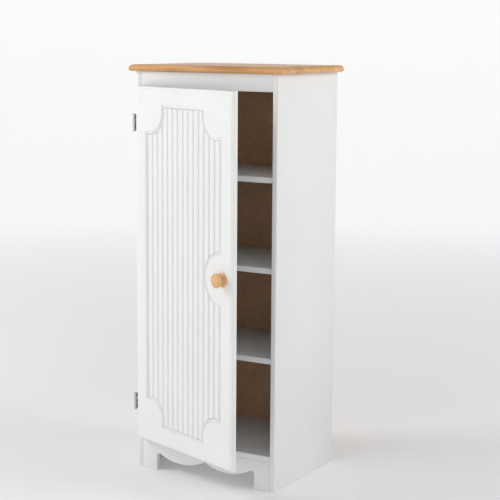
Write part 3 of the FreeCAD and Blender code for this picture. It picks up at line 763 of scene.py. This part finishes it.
# A cross recess: half an arm's angle, and how far its arms and the corners between them reach.
ARM_HALF = math.radians(18)
ARM_REACH = 0.86
CORNER_REACH = 0.34


def screw(bm, tail, head, head_r, head_tall, shank_r, flat):
    """A wood screw with a pan head, or a flat one, a cross recess and ridged threads."""
    axis = (head - tail).normalized()
    length = (head - tail).length
    neck = length - head_tall
    root = shank_r * ROOT
    profile = [(0.0, 0.0), (shank_r * TIP_R, length * TIP_TALL)]
    turns = max(4, int(neck / (shank_r * THREAD_PITCH)))
    threaded = neck - length * THREAD_SPARE
    for i in range(turns):
        along = length * THREAD_FROM + threaded * i / turns
        profile += [(root, along), (shank_r, along + threaded / turns * 0.5)]
    profile.append((root, neck))
    if flat:
        profile.append((head_r, length))
    else:
        profile += [(head_r * radius, neck + head_tall * along) for radius, along in PAN_HEAD]
    recess_r = head_r * RECESS
    profile.append((recess_r, length))
    lathe(bm, profile, tail, axis, SCREW_SIDES)
    cross_recess(bm, head, axis, recess_r, head_tall * RECESS_DEEP)


def cross_recess(bm, centre, axis, reach, deep):
    """A cross-shaped hole that closes the round rim left in a screw's head."""
    place = placed(centre, axis)
    rim, foot = [], []
    for i in range(SCREW_SIDES):
        angle = 2 * math.pi * i / SCREW_SIDES
        off = (angle + math.pi / 4) % (math.pi / 2) - math.pi / 4
        arm = ARM_REACH if abs(off) < ARM_HALF else CORNER_REACH
        rim.append(bm.verts.new(place @ round_the_axis(reach, angle, 0)))
        foot.append(bm.verts.new(place @ round_the_axis(reach * arm, angle, 0)))
    floor = [bm.verts.new(v.co - axis * deep) for v in foot]
    for i in range(SCREW_SIDES):
        j = (i + 1) % SCREW_SIDES
        bm.faces.new((rim[i], rim[j], foot[j], foot[i]))
        bm.faces.new((foot[i], foot[j], floor[j], floor[i]))
    bm.faces.new(floor)


def screws():
    """Cross-head screws in place of the plain CAD ones."""
    x, y, z = Vector((1, 0, 0)), Vector((0, 1, 0)), Vector((0, 0, 1))
    # Each row: body, the way the heads face, head radius, head height and shank radius in
    # millimetres, whether the heads are flat, material and slot.
    sets = {
        "frame_leaf_screws": ("cabinet", x, 3.0, 1.8, 1.4, False, NICKEL, "hinge_metal"),
        "door_leaf_screws": ("door", y, 3.0, 1.8, 1.4, False, NICKEL, "hinge_metal"),
        "knob_screw": ("door", y, 4.0, 2.5, 2.0, False, STEEL, "steel"),
        "catch_screws": ("cabinet", -z, 3.0, 1.8, 1.4, False, STEEL, "steel"),
        "strike_screws": ("door", y, 3.0, 1.0, 1.4, True, STEEL, "steel"),
        "top_screws": ("cabinet", -z, 3.5, 2.5, 1.75, True, STEEL, "steel"),
    }
    for node, (body, axis, head_r, head_tall, shank_r, flat, material, slot) in sets.items():
        bm = bmesh.new()
        for low, high in solids_of(node, body == "door"):
            tail, head = ends_along(low, high, axis)
            screw(bm, tail, head, head_r * MM, head_tall * MM, shank_r * MM, flat)
        bmesh.ops.remove_doubles(bm, verts=bm.verts, dist=TINY)
        mesh = mesh_of(bm, node)
        if body == "door":
            mesh.transform(DOOR_TURN)
        piece(node + "_cross_head", mesh, body, material, [node], smooth=30)


def plain_nodes():
    """CAD nodes whose own shape is right, each with its material."""
    finishes = {
        HARDBOARD: ["back_panel"],
        SOFTWOOD: ["apron_blocks"],
        BEECH: ["wooden_dowels"],
        NICKEL: ["hinge_upper_frame_leaf", "hinge_lower_frame_leaf", "hinge_upper_door_leaf",
                 "hinge_lower_door_leaf"],
        STEEL: ["back_nails", "cam_bolts", "shelf_pins_lower", "shelf_pins_middle", "shelf_pins_upper",
                "catch_pole_plates", "catch_strike"],
        CAST_ZINC: ["cam_locks"],
        FERRITE: ["catch_magnet"],
        PLASTIC: ["catch_housing"],
        BUMPER: ["door_bumpers"],
    }
    for material, nodes in finishes.items():
        for node in nodes:
            data = frame["nodes"][node].data
            data.materials.clear()
            data.materials.append(material)


# ------------------------------------------------------------------ studio
# The camera: lens and sensor in millimetres, angles in degrees, its place in metres from the middle of
# the carcase's front at floor level, and the carcase's depth.
LENS, SENSOR = 100.6, 36
AZIMUTH, ELEVATION, ROLL = 30.52, 8.83, -0.40
CAMERA_AT = (2.1446, -3.3799, 1.312)
CARCASE_DEEP = 0.362
FAR_CLIP = 100


def camera():
    """A long lens at eye height, to the cabinet's right and looking a little down."""
    data = bpy.data.cameras.new("camera")
    data.sensor_width = SENSOR
    data.lens = LENS
    data.clip_end = FAR_CLIP
    obj = bpy.data.objects.new("camera", data)
    bpy.context.scene.collection.objects.link(obj)
    front = CAD_BOX[1][1] - CARCASE_DEEP
    azimuth, elevation, roll = (math.radians(angle) for angle in (AZIMUTH, ELEVATION, ROLL))
    away = Vector((-math.sin(azimuth) * math.cos(elevation), math.cos(azimuth) * math.cos(elevation),
                   -math.sin(elevation)))
    obj.location = Vector((0, front, 0)) + Vector(CAMERA_AT)
    obj.rotation_mode = "QUATERNION"
    obj.rotation_quaternion = away.to_track_quat("-Z", "Y") @ Matrix.Rotation(-roll, 4, "Z").to_quaternion()
    bpy.context.scene.camera = obj


# The floor's flat radius, the radius of the curve round it, in metres, and the curve's steps.
FLAT, CURVE, CURVE_STEPS = 7.0, 4.0, 16
WORLD_LIGHT = 0.36
# Each lamp's place and size in metres, and its power in watts.
LAMPS = {
    "key": ((-3.1, -1.8, 2.7), 1.2, 59),
    "fill": ((2.9, 0.5, 2.6), 1.6, 36),
    "front": ((-1.0, -4.2, 1.5), 2.2, 17),
}
AIM = Vector((0, 0, 0.6))


def studio():
    """A pale floor that curves up far off on every side, white surroundings and soft lamps."""
    profile = [(0.0, 0.0), (FLAT * 0.5, 0.0), (FLAT, 0.0)]
    for i in range(1, CURVE_STEPS + 1):
        angle = math.pi / 2 * i / CURVE_STEPS
        profile.append((FLAT + CURVE * math.sin(angle), CURVE * (1 - math.cos(angle))))
    bm = bmesh.new()
    lathe(bm, profile, Vector((0, 0, 0)), Vector((0, 0, 1)), sides=96)
    mesh = mesh_of(bm, "floor")
    for polygon in mesh.polygons:
        polygon.use_smooth = True
    floor = bpy.data.objects.new("floor", mesh)
    bpy.context.scene.collection.objects.link(floor)
    material, shader = new_material("floor_white", (0.84, 0.84, 0.84), 0.9)
    shader.inputs["Specular IOR Level"].default_value = 0.1
    shader.inputs["Emission Color"].default_value = (1, 1, 1, 1)
    # The glow is weaker near the object, so the floor stays pale rather than pure white.
    coords = add_node(material, "ShaderNodeTexCoord")
    away = add_node(material, "ShaderNodeVectorMath")
    away.operation = "LENGTH"
    link(material, coords.outputs["Object"], away.inputs[0])
    glow = add_node(material, "ShaderNodeMapRange")
    for socket, amount in (("From Min", 1.0), ("From Max", 5.5), ("To Min", 0.12), ("To Max", 0.48)):
        glow.inputs[socket].default_value = amount
    link(material, away.outputs["Value"], glow.inputs["Value"])
    link(material, glow.outputs["Result"], shader.inputs["Emission Strength"])
    mesh.materials.append(material)
    world = bpy.data.worlds.new("surroundings")
    world.use_nodes = True
    surroundings = world.node_tree.nodes["Background"].inputs
    surroundings["Color"].default_value = (1, 1, 1, 1)
    surroundings["Strength"].default_value = WORLD_LIGHT
    bpy.context.scene.world = world
    for name, (place, size, power) in LAMPS.items():
        lamp(name, place, size, power)
    bpy.context.scene.view_settings.view_transform = "Standard"


def lamp(name, place, size, power):
    data = bpy.data.lights.new(name, "AREA")
    data.shape = "SQUARE"
    data.size = size
    data.energy = power
    obj = bpy.data.objects.new(name, data)
    obj.location = place
    obj.rotation_euler = (AIM - Vector(place)).to_track_quat("-Z", "Y").to_euler()
    bpy.context.scene.collection.objects.link(obj)


camera()
studio()
carcase()
door()
knob()
hinge_pins()
screws()
plain_nodes()
